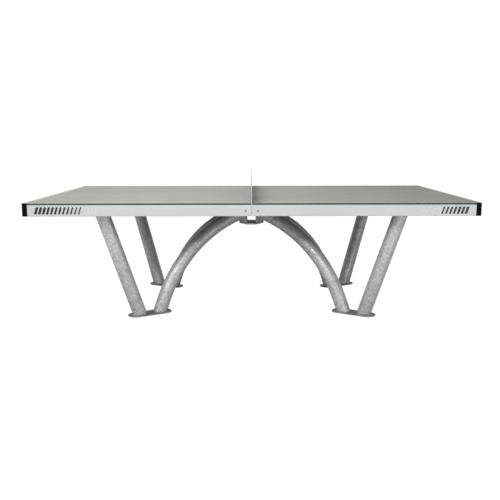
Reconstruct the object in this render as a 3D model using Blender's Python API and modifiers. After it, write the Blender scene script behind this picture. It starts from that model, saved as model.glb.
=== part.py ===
"""Outdoor table tennis table: two playing surfaces on a folded steel frame,
four straight legs and four bent arch legs on shared foot plates, a hub under
the middle and a steel net clamped between the two halves.

Metres, +Z up. X runs along the table, Y across it. The origin is on the
floor under the middle of the table.
"""

import math

import bmesh
import bpy
from mathutils import Matrix, Vector

# ---- overall sizes ----
TABLE_LENGTH = 2.74
TABLE_WIDTH = 1.525
TABLE_HEIGHT = 0.76
CLEARANCE = 0.0003  # left between pieces that touch

# ---- playing surface and frame ----
BOARD_THICKNESS = 0.010
APRON_HEIGHT = 0.0685
APRON_WALL = 0.0025
APRON_RETURN = 0.025
GUARD_LENGTH = 0.034
GUARD_WALL = 0.004
GUARD_ROUND = 0.012

# ---- net ----
NET_HEIGHT = 0.1525
NET_THICKNESS = 0.005
NET_BOLT_PLACE = 0.45  # from the middle of the table

# ---- cross beams ----
BEAM_WALL = 0.0025
LEG_BEAM_WIDTH = 0.100
STIFFENER_WIDTH = 0.050
STIFFENER_PLACE = 0.50
CENTRE_BEAM_WIDTH = 0.068
CENTRE_BEAM_DEPTH = 0.047

# ---- hub ----
HUB_HALF_GAP = 0.030
HUB_HALF_WIDTH = 0.084
HUB_HALF_SIDE = 0.016  # half of the short edge between two slanted faces
HUB_WALL = 0.008
HUB_PLATE = 0.010
HUB_BOTTOM = 0.548
HUB_BOLT_OUT = 0.023  # from the hub's outline to its bolts, and on to the plate's edge
ARCH_AT_HUB = 0.6305  # height of the arch legs' axis at the hub's faces

# ---- legs ----
LEG_ANGLE = math.radians(31.5)  # plan angle between a leg pair and the X axis
TUBE_DIAMETER = 0.0889
TUBE_WALL = 0.003
LEG_HEAD_INSET = 0.170  # long edge of the table to the middle of a leg head
LEG_LEAN = math.radians(18.84)
FEET_SPREAD = 0.1366
ARCH_LEAN = math.radians(21.65)
ARCH_STRAIGHT = 0.0937
HEAD_PLATE_DEPTH = 0.170
HEAD_PLATE_THICKNESS = 0.008
FOOT_PLATE_THICKNESS = 0.008
FOOT_PLATE_WIDTH = 0.110
FOOT_PLATE_OVERHANG = 0.033  # past the tubes' outer sides, for the anchors
ANCHOR_HOLE = 0.011
ANCHOR_FROM_END = 0.020

# ---- fasteners: shank, head across its round or flats, head height ----
BOLT_LARGE = 0.012
BOLT_LARGE_HEAD = 0.019
BOLT_LARGE_HEIGHT = 0.0075
BOLT_NET = 0.010
BOLT_NET_HEAD = 0.017
BOLT_NET_HEIGHT = 0.0065
SCREW = 0.008
SCREW_HEAD = 0.014
SCREW_HEAD_HEIGHT = 0.003
SCREW_LENGTH = 0.020
SCREW_ABOVE_APRON = 0.0325

TUBE_SIDES = 20
BORE_SIDES = 12
ARCH_STEPS = 14
CUT = 0.05  # how far a cutter runs past what it cuts

# ---- places that follow from the sizes above ----
half_length = TABLE_LENGTH / 2
half_width = TABLE_WIDTH / 2
board_bottom = TABLE_HEIGHT - BOARD_THICKNESS
apron_bottom = board_bottom - CLEARANCE - APRON_HEIGHT
apron_top = board_bottom - CLEARANCE
half_seam = NET_THICKNESS / 2 + CLEARANCE
beam_top = apron_top - APRON_WALL - CLEARANCE
beam_bottom = apron_bottom + APRON_WALL + CLEARANCE
beam_end = half_width - APRON_WALL - CLEARANCE
centre_beam_bottom = beam_top - CENTRE_BEAM_DEPTH
centre_beam_middle = half_seam + CENTRE_BEAM_WIDTH / 2
tube_radius = TUBE_DIAMETER / 2

leg_out = Vector((math.cos(LEG_ANGLE), math.sin(LEG_ANGLE), 0))
face_run = HUB_HALF_WIDTH - HUB_HALF_GAP
hub_half_depth = HUB_HALF_SIDE + face_run / math.tan(LEG_ANGLE)
hub_face = Vector((HUB_HALF_GAP + face_run / 2, (hub_half_depth + HUB_HALF_SIDE) / 2, 0))

head_bottom = beam_bottom - CLEARANCE - HEAD_PLATE_THICKNESS
head_y = half_width - LEG_HEAD_INSET
head_reach = (head_y - hub_face.y) / leg_out.y
head_x = hub_face.x + head_reach * leg_out.x
straight_foot = head_reach - head_bottom * math.tan(LEG_LEAN)
arch_foot = straight_foot - FEET_SPREAD
foot_top = FOOT_PLATE_THICKNESS + CLEARANCE
foot_middle = (straight_foot + arch_foot) / 2
hub_shell_bottom = HUB_BOTTOM + HUB_PLATE + CLEARANCE
hub_top_plate_top = centre_beam_bottom - CLEARANCE
hub_shell_top = hub_top_plate_top - HUB_PLATE - CLEARANCE
hub_bolt_y = hub_half_depth + HUB_BOLT_OUT
hub_top_plate_wide = half_seam + CENTRE_BEAM_WIDTH
hub_top_plate_deep = hub_bolt_y + HUB_BOLT_OUT
net_bottom = centre_beam_bottom + CLEARANCE
net_bolt_z = (centre_beam_bottom + beam_top) / 2
leg_bolt_y = (HEAD_PLATE_DEPTH / 2 + tube_radius / math.cos(LEG_LEAN)) / 2

ends = {"left": -1, "right": 1}
sides = {"front": -1, "rear": 1}
corners = [(f"{side}_{end}", ends[end], sides[side]) for side in sides for end in ends]


# ---- scene, collections and materials ----
for old in list(bpy.data.objects):
    bpy.data.objects.remove(old, do_unlink=True)
table = bpy.data.collections.new("ping_pong_table")
cutters = bpy.data.collections.new("cutters")
cutters.hide_render = True
bpy.context.scene.collection.children.link(table)
bpy.context.scene.collection.children.link(cutters)


def material(name, colour, roughness, metallic):
    made = bpy.data.materials.new(name)
    made.use_nodes = True
    shader = made.node_tree.nodes["Principled BSDF"]
    shader.inputs["Base Color"].default_value = (*colour, 1)
    shader.inputs["Roughness"].default_value = roughness
    shader.inputs["Metallic"].default_value = metallic
    return made


laminate = material("grey_laminate", (0.42, 0.43, 0.40), 0.6, 0.0)
white_steel = material("white_painted_steel", (0.72, 0.74, 0.74), 0.4, 0.0)
galvanised = material("galvanised_steel", (0.38, 0.39, 0.38), 0.45, 0.9)
black_plastic = material("black_plastic", (0.01, 0.01, 0.01), 0.5, 0.0)
stainless = material("stainless_steel", (0.6, 0.6, 0.6), 0.3, 1.0)


# ---- modelling helpers ----
def add(name, mesh, finish, place=None, smooth=False):
    """Link a mesh to the table as a named piece."""
    piece = bpy.data.objects.new(name, mesh)
    piece.data.materials.clear()
    piece.data.materials.append(finish)
    if place is not None:
        piece.matrix_world = place
    if smooth:
        piece.data.shade_smooth()
        piece.data.set_sharp_from_angle(angle=math.radians(35))
    table.objects.link(piece)
    return piece


def add_cutter(name, mesh, place=None):
    cutter = bpy.data.objects.new(name, mesh)
    if place is not None:
        cutter.matrix_world = place
    cutter.hide_render = True
    cutter.display_type = "WIRE"
    cutters.objects.link(cutter)
    return cutter


def boolean(piece, other, operation="DIFFERENCE"):
    modifier = piece.modifiers.new(f"{operation.lower()}_{other.name}", "BOOLEAN")
    modifier.object = other
    modifier.operation = operation
    modifier.solver = "EXACT"


def block(name, low, high):
    """Mesh of a box between two corners."""
    shape = bmesh.new()
    bmesh.ops.create_cube(shape, size=1)
    size = [top - bottom for bottom, top in zip(low, high)]
    middle = [(bottom + top) / 2 for bottom, top in zip(low, high)]
    bmesh.ops.scale(shape, vec=size, verts=shape.verts)
    bmesh.ops.translate(shape, vec=middle, verts=shape.verts)
    mesh = bpy.data.meshes.new(name)
    shape.to_mesh(mesh)
    shape.free()
    return mesh


def cylinder(name, radius, low, high, segments=16):
    """Mesh of a cylinder along local Z between two heights."""
    shape = bmesh.new()
    bmesh.ops.create_cone(
        shape, cap_ends=True, segments=segments, radius1=radius, radius2=radius, depth=high - low
    )
    bmesh.ops.translate(shape, vec=(0, 0, (low + high) / 2), verts=shape.verts)
    mesh = bpy.data.meshes.new(name)
    shape.to_mesh(mesh)
    shape.free()
    return mesh


def plate(name, outline, low, high, holes=()):
    """Mesh of a flat plate: a filled 2D curve, extruded between two heights.

    Each hole is (x, y, radius).
    """
    curve = bpy.data.curves.new(name, "CURVE")
    curve.dimensions = "2D"
    curve.fill_mode = "BOTH"
    curve.extrude = (high - low) / 2
    loops = [outline]
    for x, y, radius in holes:
        loops.append(arc(x, y, radius, 0, math.tau, 16)[:-1])
    for loop in loops:
        spline = curve.splines.new("POLY")
        spline.points.add(len(loop) - 1)
        for point, (x, y) in zip(spline.points, loop):
            point.co = (x, y, 0, 1)
        spline.use_cyclic_u = True
    mesh = mesh_of_curve(name, curve)
    mesh.transform(Matrix.Translation((0, 0, (low + high) / 2)))
    return mesh


def mesh_of_curve(name, curve):
    """The evaluated mesh of a curve, with its loose caps welded on."""
    guide = bpy.data.objects.new(name + "_curve", curve)
    bpy.context.scene.collection.objects.link(guide)
    graph = bpy.context.evaluated_depsgraph_get()
    mesh = bpy.data.meshes.new_from_object(guide.evaluated_get(graph))
    shape = bmesh.new()
    shape.from_mesh(mesh)
    bmesh.ops.remove_doubles(shape, verts=shape.verts, dist=0.00001)
    bmesh.ops.recalc_face_normals(shape, faces=shape.faces)
    shape.to_mesh(mesh)
    shape.free()
    bpy.data.objects.remove(guide, do_unlink=True)
    mesh.name = name
    return mesh


def arc(x, y, radius, start, end, steps):
    """Points of a round stretch of an outline, both ends included."""
    turns = [start + (end - start) * step / steps for step in range(steps + 1)]
    return [(x + radius * math.cos(turn), y + radius * math.sin(turn)) for turn in turns]


def tube(name, path, radius, sides):
    """Mesh of a closed round bar that follows a path of points."""
    curve = bpy.data.curves.new(name, "CURVE")
    curve.dimensions = "3D"
    curve.bevel_depth = radius
    curve.bevel_resolution = (sides - 4) // 2
    curve.use_fill_caps = True
    spline = curve.splines.new("POLY")
    spline.points.add(len(path) - 1)
    for point, co in zip(spline.points, path):
        point.co = (*co, 1)
    return mesh_of_curve(name, curve)


def mirrored(mesh, name, end, side):
    """Copy of a rear right mesh for another quarter, with its faces outwards."""
    copy = mesh.copy()
    copy.name = name
    copy.transform(Matrix.Diagonal((end, side, 1, 1)))
    if end * side < 0:
        copy.flip_normals()
    return copy


# ---- cutters shared by several pieces ----
def corner_notch():
    """L-shaped room for a corner guard, at the rear right corner."""
    long = GUARD_LENGTH + CLEARANCE
    deep = GUARD_WALL + CLEARANCE
    x, y = half_length, half_width
    outline = [
        (x + CUT, y + CUT),
        (x - long, y + CUT),
        (x - long, y - deep),
        (x - deep, y - deep),
        (x - deep, y - long),
        (x + CUT, y - long),
    ]
    return plate("corner_notch", outline, apron_bottom - CUT, TABLE_HEIGHT + CUT)


notch_mesh = corner_notch()
notches = {}
for name, end, side in corners:
    mesh = mirrored(notch_mesh, f"notch_{name}", end, side)
    notches[(end, side)] = add_cutter(f"notch_{name}", mesh)


# ---- playing surfaces ----
def make_boards():
    for name, end in ends.items():
        low = (half_seam, -half_width, board_bottom)
        high = (half_length, half_width, TABLE_HEIGHT)
        mesh = mirrored(block("board", low, high), f"tabletop_{name}", end, 1)
        piece = add(f"tabletop_{name}", mesh, laminate)
        for side in sides.values():
            boolean(piece, notches[(end, side)])


# ---- aprons: folded channels with mitred corners ----
def channel_profile():
    """(depth in from the outer face, height) of the folded sheet's section."""
    wall = APRON_WALL
    return [
        (0, apron_bottom),
        (APRON_RETURN, apron_bottom),
        (APRON_RETURN, apron_bottom + wall),
        (wall, apron_bottom + wall),
        (wall, apron_top - wall),
        (APRON_RETURN, apron_top - wall),
        (APRON_RETURN, apron_top),
        (0, apron_top),
    ]


def apron_mesh(name, start, end, mitre_start, mitre_end):
    """Channel along +X with its outer face at y = 0 and its returns at y > 0.

    A mitre moves each point of that end inwards by its depth.
    """
    shape = bmesh.new()
    profile = channel_profile()
    ring = [shape.verts.new((start + mitre_start * depth, depth, z)) for depth, z in profile]
    face = shape.faces.new(ring)
    run = bmesh.ops.extrude_face_region(shape, geom=[face])
    far = [item for item in run["geom"] if isinstance(item, bmesh.types.BMVert)]
    for vert in far:
        vert.co.x = end - mitre_end * vert.co.y
    bmesh.ops.recalc_face_normals(shape, faces=shape.faces)
    mesh = bpy.data.meshes.new(name)
    shape.to_mesh(mesh)
    shape.free()
    return mesh


def screw_hole_cutter(name, x, side):
    """Hole for a seam screw, through the apron and the beam's end wall."""
    mesh = cylinder(name, SCREW / 2 + CLEARANCE, -CUT, CUT)
    z = apron_bottom + SCREW_ABOVE_APRON
    turn = Matrix.Rotation(math.pi / 2, 4, "X")
    return add_cutter(name, mesh, Matrix.Translation((x, side * half_width, z)) @ turn)


screw_holes = {}
for name, end, side in corners:
    x = end * centre_beam_middle
    screw_holes[(end, side)] = screw_hole_cutter(f"screw_hole_{name}", x, side)


def make_aprons():
    mitre_gap = CLEARANCE / 2 * math.sqrt(2)
    long_apron = apron_mesh("long_apron", half_seam, half_length - mitre_gap, 0, 1)
    long_apron.transform(Matrix.Translation((0, -half_width, 0)))
    for name, end, side in corners:
        mesh = mirrored(long_apron, f"apron_{name}", end, -side)
        piece = add(f"apron_{name}", mesh, white_steel)
        boolean(piece, notches[(end, side)])
        boolean(piece, screw_holes[(end, side)])
    reach = half_width - mitre_gap
    end_apron = apron_mesh("end_apron", -reach, reach, 1, 1)
    end_apron.transform(Matrix.Translation((0, -half_length, 0)))
    end_apron.transform(Matrix.Rotation(math.pi / 2, 4, "Z"))
    for name, end in ends.items():
        mesh = mirrored(end_apron, f"apron_{name}_end", end, 1)
        piece = add(f"apron_{name}_end", mesh, white_steel)
        for side in sides.values():
            boolean(piece, notches[(end, side)])


# ---- corner guards ----
def make_guards():
    x, y = half_length, half_width
    inner = GUARD_WALL
    outline = [(x - GUARD_LENGTH, y), (x - GUARD_LENGTH, y - inner), (x - inner, y - inner)]
    outline += [(x - inner, y - GUARD_LENGTH), (x, y - GUARD_LENGTH)]
    outline += arc(x - GUARD_ROUND, y - GUARD_ROUND, GUARD_ROUND, 0, math.pi / 2, 8)
    guard = plate("guard", outline, apron_bottom, TABLE_HEIGHT)
    for name, end, side in corners:
        mesh = mirrored(guard, f"corner_guard_{name}", end, side)
        add(f"corner_guard_{name}", mesh, black_plastic, smooth=True)


# ---- cross beams: pressed channels, open upwards, with closed ends ----
def make_beam(name, middle, width, bottom, nuts=()):
    """Beam across the table. Each nut is (x, y) of a bolt from below."""
    low = (middle - width / 2, -beam_end, bottom)
    high = (middle + width / 2, beam_end, beam_top)
    inside_low = (low[0] + BEAM_WALL, low[1] + BEAM_WALL, bottom + BEAM_WALL)
    inside_high = (high[0] - BEAM_WALL, high[1] - BEAM_WALL, beam_top + CUT)
    piece = add(name, block(name, low, high), galvanised)
    boolean(piece, add_cutter(name + "_inside", block(name + "_inside", inside_low, inside_high)))
    for count, (x, y) in enumerate(nuts):
        place = Matrix.Translation((x, y, bottom))
        nut_top = BEAM_WALL + BOLT_LARGE
        nut_radius = BOLT_LARGE_HEAD / math.sqrt(3)
        nut = cylinder("weld_nut", nut_radius, BEAM_WALL / 2, nut_top, 6)
        boolean(piece, add_cutter(f"{name}_nut_{count}", nut, place), "UNION")
        hole = cylinder("bolt_hole", BOLT_LARGE / 2 + CLEARANCE, -CUT, CUT)
        boolean(piece, add_cutter(f"{name}_hole_{count}", hole, place))
    return piece


def net_bolt_holes(piece, name):
    """Holes across the net plate and the beams beside it."""
    for count, side in enumerate(sides.values()):
        hole = cylinder("net_hole", BOLT_NET / 2 + CLEARANCE, -CUT, CUT)
        place = Matrix.Translation((0, side * NET_BOLT_PLACE, net_bolt_z))
        place = place @ Matrix.Rotation(math.pi / 2, 4, "Y")
        boolean(piece, add_cutter(f"{name}_net_hole_{count}", hole, place))


def make_beams():
    for name, end in ends.items():
        nuts = [
            (end * head_x, side * (head_y + place * leg_bolt_y))
            for side in sides.values()
            for place in (-1, 1)
        ]
        make_beam(f"leg_beam_{name}", end * head_x, LEG_BEAM_WIDTH, beam_bottom, nuts)
        make_beam(f"stiffener_{name}", end * STIFFENER_PLACE, STIFFENER_WIDTH, beam_bottom)
        middle = end * centre_beam_middle
        nuts = [(middle, side * hub_bolt_y) for side in sides.values()]
        beam = make_beam(
            f"centre_beam_{name}", middle, CENTRE_BEAM_WIDTH, centre_beam_bottom, nuts
        )
        net_bolt_holes(beam, f"centre_beam_{name}")
        for side in sides.values():
            boolean(beam, screw_holes[(end, side)])


# ---- net: one plate, clamped between the halves ----
def make_net():
    half = NET_THICKNESS / 2
    low = (-half, -half_width, net_bottom)
    high = (half, half_width, TABLE_HEIGHT + NET_HEIGHT)
    net = add("net", block("net", low, high), white_steel)
    net_bolt_holes(net, "net")


# ---- hub ----
def hub_outline(inset=0.0):
    """The hub's right half from the front gap corner to the rear one."""
    gap, wide = HUB_HALF_GAP, HUB_HALF_WIDTH - inset
    # An inset face moves towards the middle; its ends slide along the gap and the side.
    gap_y = hub_half_depth - inset / leg_out.y
    side_y = gap_y - (wide - gap) / math.tan(LEG_ANGLE)
    return [(gap, -gap_y), (wide, -side_y), (wide, side_y), (gap, gap_y)]


def make_hub():
    right = hub_outline()
    left = [(-x, -y) for x, y in right]
    bottom = plate("hub_base_plate", right + left, HUB_BOTTOM, HUB_BOTTOM + HUB_PLATE)
    add("hub_base_plate", bottom, galvanised)
    inner = list(reversed(hub_outline(HUB_WALL)))
    shell = plate("hub_shell", right + inner, hub_shell_bottom, hub_shell_top)
    for name, end in ends.items():
        add(f"hub_shell_{name}", mirrored(shell, f"hub_shell_{name}", end, 1), galvanised)
    wide, deep = hub_top_plate_wide, hub_top_plate_deep
    outline = [(-wide, -deep), (wide, -deep), (wide, deep), (-wide, deep)]
    hole = BOLT_LARGE / 2 + CLEARANCE
    holes = [(end * centre_beam_middle, side * hub_bolt_y, hole) for _, end, side in corners]
    low = hub_top_plate_top - HUB_PLATE
    add("hub_top_plate", plate("hub_top_plate", outline, low, hub_top_plate_top, holes), galvanised)


# ---- legs: all four quarters are mirrored from the rear right one ----
def along_leg(reach, height):
    return hub_face + leg_out * reach + Vector((0, 0, height))


def straight_leg_path():
    lean = math.tan(LEG_LEAN)
    past = 0.06
    low, high = -past, head_bottom + past
    return [along_leg(straight_foot + z * lean, z) for z in (low, high)]


def arch_leg_path():
    """Lower straight, then one bend that ends on the hub's face.

    It starts below the floor and ends inside the hub, where cutters trim it.
    """
    lean_in, lean_up = math.sin(ARCH_LEAN), math.cos(ARCH_LEAN)
    start_in, start_up = ARCH_STRAIGHT * lean_in, ARCH_STRAIGHT * lean_up
    chord_in, chord_up = arch_foot - start_in, ARCH_AT_HUB - start_up
    steep = math.pi / 2 - ARCH_LEAN
    turn = 2 * (steep - math.atan2(chord_up, chord_in))
    radius = math.hypot(chord_in, chord_up) / (2 * math.sin(turn / 2))
    below = 0.06
    points = [(arch_foot + below * lean_in, -below * lean_up)]
    for step in range(ARCH_STEPS + 1):
        slope = steep - turn * step / ARCH_STEPS
        inward = start_in + radius * (math.sin(steep) - math.sin(slope))
        upward = start_up + radius * (math.cos(slope) - math.cos(steep))
        points.append((arch_foot - inward, upward))
    end_slope = steep - turn
    inside = 0.05
    points.append((-inside * math.cos(end_slope), ARCH_AT_HUB + inside * math.sin(end_slope)))
    return [along_leg(reach, height) for reach, height in points]


def trim_box(name, low, high):
    """Box that lies along the rear right leg pair, measured from the hub's face."""
    mesh = block(name, low, high)
    mesh.transform(Matrix.Rotation(LEG_ANGLE, 4, "Z"))
    mesh.transform(Matrix.Translation(hub_face))
    return mesh


def leg_mesh(name, path, trims):
    """Hollow tube along a path, cut off by the trim meshes."""
    outer = bpy.data.objects.new(name, tube(name, path, tube_radius, TUBE_SIDES))
    table.objects.link(outer)
    first, last = path[0], path[-1]
    bore_path = [first + (first - path[1]).normalized() * CUT / 5] + path[1:-1]
    bore_path.append(last + (last - path[-2]).normalized() * CUT / 5)
    bore = tube(name + "_bore", bore_path, tube_radius - TUBE_WALL, BORE_SIDES)
    boolean(outer, add_cutter(name + "_bore", bore))
    for count, mesh in enumerate(trims):
        boolean(outer, add_cutter(f"{name}_trim_{count}", mesh))
    graph = bpy.context.evaluated_depsgraph_get()
    made = bpy.data.meshes.new_from_object(outer.evaluated_get(graph))
    bpy.data.objects.remove(outer, do_unlink=True)
    return made


def make_legs():
    big = 0.4
    floor = trim_box("floor_trim", (-big, -big, -big), (2, big, foot_top))
    head = trim_box("head_trim", (0, -big, head_bottom - CLEARANCE), (2, big, 1.2))
    hub = trim_box("hub_trim", (-big, -big, 0), (CLEARANCE, big, 1.2))
    lid = trim_box("lid_trim", (-big, -big, hub_shell_top), (2, big, 1.2))
    straight = leg_mesh("straight_leg", straight_leg_path(), [floor, head])
    arch = leg_mesh("arch_leg", arch_leg_path(), [floor, hub, lid])
    for name, end, side in corners:
        mesh = mirrored(straight, f"straight_leg_{name}", end, side)
        add(f"straight_leg_{name}", mesh, galvanised, smooth=True)
        mesh = mirrored(arch, f"arch_leg_{name}", end, side)
        add(f"arch_leg_{name}", mesh, galvanised, smooth=True)


def make_foot_plates():
    tube_reach = tube_radius / math.cos(ARCH_LEAN)
    half = FEET_SPREAD / 2 + tube_reach + FOOT_PLATE_OVERHANG
    radius = FOOT_PLATE_WIDTH / 2
    run = half - radius
    outline = arc(run, 0, radius, -math.pi / 2, math.pi / 2, 14)
    outline += arc(-run, 0, radius, math.pi / 2, math.pi * 1.5, 14)
    hole_reach = half - ANCHOR_FROM_END
    holes = [(end * hole_reach, 0, ANCHOR_HOLE / 2) for end in (-1, 1)]
    foot = plate("foot_plate", outline, 0, FOOT_PLATE_THICKNESS, holes)
    foot.transform(Matrix.Rotation(LEG_ANGLE, 4, "Z"))
    foot.transform(Matrix.Translation(along_leg(foot_middle, 0)))
    for name, end, side in corners:
        add(f"foot_plate_{name}", mirrored(foot, f"foot_plate_{name}", end, side), galvanised)


def make_head_plates():
    wide, deep = LEG_BEAM_WIDTH / 2, HEAD_PLATE_DEPTH / 2
    outline = [(-wide, -deep), (wide, -deep), (wide, deep), (-wide, deep)]
    hole = BOLT_LARGE / 2 + CLEARANCE
    holes = [(0, -leg_bolt_y, hole), (0, leg_bolt_y, hole)]
    head = plate("leg_head_plate", outline, head_bottom, head_bottom + HEAD_PLATE_THICKNESS, holes)
    head.transform(Matrix.Translation((head_x, head_y, 0)))
    for name, end, side in corners:
        add(f"leg_head_plate_{name}", mirrored(head, f"head_{name}", end, side), galvanised)


# ---- fasteners ----
def hex_bolt(name, shank, head, head_height, length):
    """Bolt along +Z: the head's bearing face is at 0, the shank above it."""
    body = cylinder(name, shank / 2, -head_height / 2, length)
    bolt = bpy.data.objects.new(name, body)
    table.objects.link(bolt)
    hexagon = cylinder(name + "_head", head / math.sqrt(3), -head_height, 0, 6)
    boolean(bolt, add_cutter(name + "_head", hexagon), "UNION")
    graph = bpy.context.evaluated_depsgraph_get()
    made = bpy.data.meshes.new_from_object(bolt.evaluated_get(graph))
    bpy.data.objects.remove(bolt, do_unlink=True)
    return made


def make_bolts():
    grip = HEAD_PLATE_THICKNESS + BEAM_WALL + BOLT_LARGE + 3 * CLEARANCE
    leg_bolt = hex_bolt("leg_bolt", BOLT_LARGE, BOLT_LARGE_HEAD, BOLT_LARGE_HEIGHT, grip)
    grip = HUB_PLATE + BEAM_WALL + BOLT_LARGE + 3 * CLEARANCE
    hub_bolt = hex_bolt("hub_bolt", BOLT_LARGE, BOLT_LARGE_HEAD, BOLT_LARGE_HEIGHT, grip)
    for name, end, side in corners:
        for place, inner in (("inner", -1), ("outer", 1)):
            y = side * (head_y + inner * leg_bolt_y)
            at = Matrix.Translation((end * head_x, y, head_bottom - CLEARANCE))
            add(f"leg_bolt_{place}_{name}", leg_bolt.copy(), stainless, at)
        z = hub_top_plate_top - HUB_PLATE - CLEARANCE
        at = Matrix.Translation((end * centre_beam_middle, side * hub_bolt_y, z))
        add(f"hub_bolt_{name}", hub_bolt.copy(), stainless, at)


def make_net_bolts():
    """Each passes both beams and the net plate, with its nut on the right."""
    inner_wall = half_seam + BEAM_WALL
    reach = 2 * (inner_wall + CLEARANCE) + BOLT_NET
    bolt = hex_bolt("net_bolt", BOLT_NET, BOLT_NET_HEAD, BOLT_NET_HEIGHT, reach)
    nut_radius = BOLT_NET_HEAD / math.sqrt(3)
    sideways = Matrix.Rotation(math.pi / 2, 4, "Y")
    for name, side in sides.items():
        y = side * NET_BOLT_PLACE
        at = Matrix.Translation((-inner_wall - CLEARANCE, y, net_bolt_z)) @ sideways
        add(f"net_bolt_{name}", bolt.copy(), stainless, at)
        nut = cylinder("net_nut", nut_radius, 0, BOLT_NET_HEIGHT, 6)
        at = Matrix.Translation((inner_wall + CLEARANCE, y, net_bolt_z)) @ sideways
        piece = add(f"net_nut_{name}", nut, stainless, at)
        bore = cylinder("nut_bore", BOLT_NET / 2 + CLEARANCE, -CUT, CUT)
        boolean(piece, add_cutter(f"net_nut_{name}_bore", bore, at))


def make_seam_screws():
    """Pan head screws that fix the long aprons to the centre beams' ends."""
    steps = 5
    profile = [(0, -SCREW_LENGTH), (SCREW / 2, -SCREW_LENGTH), (SCREW / 2, 0)]
    profile += [
        (SCREW_HEAD / 2 * math.cos(turn), SCREW_HEAD_HEIGHT * math.sin(turn))
        for turn in (math.pi / 2 * step / steps for step in range(steps))
    ]
    profile += [(0, SCREW_HEAD_HEIGHT)]
    for name, end, side in corners:
        z = apron_bottom + SCREW_ABOVE_APRON
        shape = bmesh.new()
        points = [shape.verts.new((x, 0, height)) for x, height in reversed(profile)]
        for first, second in zip(points, points[1:]):
            shape.edges.new((first, second))
        mesh = bpy.data.meshes.new(f"seam_screw_{name}")
        shape.to_mesh(mesh)
        shape.free()
        away = Matrix.Rotation(-side * math.pi / 2, 4, "X")
        at = Matrix.Translation((end * centre_beam_middle, side * (half_width + CLEARANCE), z))
        piece = add(f"seam_screw_{name}", mesh, stainless, at @ away)
        turned = piece.modifiers.new("turned", "SCREW")
        turned.axis = "Z"
        turned.steps = 16
        turned.render_steps = 16
        turned.use_merge_vertices = True
        turned.merge_threshold = 0.0001


make_boards()
make_aprons()
make_guards()
make_beams()
make_net()
make_hub()
make_legs()
make_foot_plates()
make_head_plates()
make_bolts()
make_net_bolts()
make_seam_screws()
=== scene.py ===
import math

import bmesh
import bpy
from mathutils import Matrix, Vector


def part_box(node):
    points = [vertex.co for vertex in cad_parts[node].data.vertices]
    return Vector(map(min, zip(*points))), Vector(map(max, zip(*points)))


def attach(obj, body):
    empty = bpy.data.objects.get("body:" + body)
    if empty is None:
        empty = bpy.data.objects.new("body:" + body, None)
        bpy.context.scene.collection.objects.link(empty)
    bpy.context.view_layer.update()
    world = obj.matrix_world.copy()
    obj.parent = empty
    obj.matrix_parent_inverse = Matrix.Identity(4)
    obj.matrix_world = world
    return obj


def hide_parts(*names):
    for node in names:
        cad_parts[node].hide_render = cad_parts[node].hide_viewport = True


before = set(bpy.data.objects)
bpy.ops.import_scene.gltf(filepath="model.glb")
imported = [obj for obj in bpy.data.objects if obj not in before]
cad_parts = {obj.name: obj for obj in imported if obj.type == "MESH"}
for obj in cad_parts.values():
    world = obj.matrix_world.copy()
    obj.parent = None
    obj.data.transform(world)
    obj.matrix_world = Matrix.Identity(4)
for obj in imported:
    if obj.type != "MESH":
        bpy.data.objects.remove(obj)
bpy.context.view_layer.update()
scene = bpy.context.scene
print("frame loaded:", len(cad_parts), "nodes")

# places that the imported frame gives, at the rear right quarter
deckLow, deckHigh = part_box("tabletop_right")
apronLow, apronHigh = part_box("apron_rear_right")
guardLow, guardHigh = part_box("corner_guard_rear_right")
footLow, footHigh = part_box("foot_plate_rear_right")
headLow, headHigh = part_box("leg_head_plate_rear_right")
hubLow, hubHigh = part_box("hub_base_plate")
shellLow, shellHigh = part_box("hub_shell_right")
lidLow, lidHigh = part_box("hub_top_plate")
netLow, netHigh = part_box("net")
halfLength, halfWidth = deckHigh.x, deckHigh.y
gap = 0.0003  # left between pieces that touch

ends = {"left": -1, "right": 1}
sides = {"front": -1, "rear": 1}
halves = [(end, ends[end], 1) for end in ends]
quarters = [(f"{side}_{end}", ends[end], sides[side]) for side in sides for end in ends]


# small tools
def addNode(tree, kind, inputs=None, **settings):
    # inputs go by name or number: values, outputs, or nodes, which give their first output
    node = tree.nodes.new(kind)
    for name, value in settings.items():
        setattr(node, name, value)
    for name, value in (inputs or {}).items():
        if isinstance(value, bpy.types.Node):
            value = value.outputs[0]
        if isinstance(value, bpy.types.NodeSocket):
            tree.links.new(value, node.inputs[name])
        else:
            node.inputs[name].default_value = value
    return node


def calculate(tree, operation, *values):
    inputs = dict(enumerate(values))
    return addNode(tree, "ShaderNodeMath", inputs, operation=operation).outputs[0]


def multiply(tree, first, *values):
    for value in values:
        first = calculate(tree, "MULTIPLY", first, value)
    return first


def mapRange(tree, value, low, high, toLow=0.0, toHigh=1.0, smooth=False):
    inputs = {"Value": value, 1: low, 2: high, 3: toLow, 4: toHigh}
    style = "SMOOTHSTEP" if smooth else "LINEAR"
    return addNode(tree, "ShaderNodeMapRange", inputs, interpolation_type=style).outputs["Result"]


def noise(tree, place, scale, detail=2, roughness=0.5):
    inputs = {"Vector": place, "Scale": scale, "Detail": detail, "Roughness": roughness}
    return addNode(tree, "ShaderNodeTexNoise", inputs).outputs["Fac"]


def split(tree, vector):
    return addNode(tree, "ShaderNodeSeparateXYZ", {0: vector}).outputs


def combine(tree, x=0.0, y=0.0, z=0.0):
    return addNode(tree, "ShaderNodeCombineXYZ", {"X": x, "Y": y, "Z": z})


def mixColours(tree, share, first, second, blend="MIX"):
    inputs = {0: share, 6: first, 7: second}
    return addNode(tree, "ShaderNodeMix", inputs, data_type="RGBA", blend_type=blend).outputs[2]


def grey(value, tint=(1, 1, 1)):
    return (*(value * part for part in tint), 1)


def addObject(name, data):
    holder = bpy.data.objects.new(name, data)
    scene.collection.objects.link(holder)
    return holder


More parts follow.
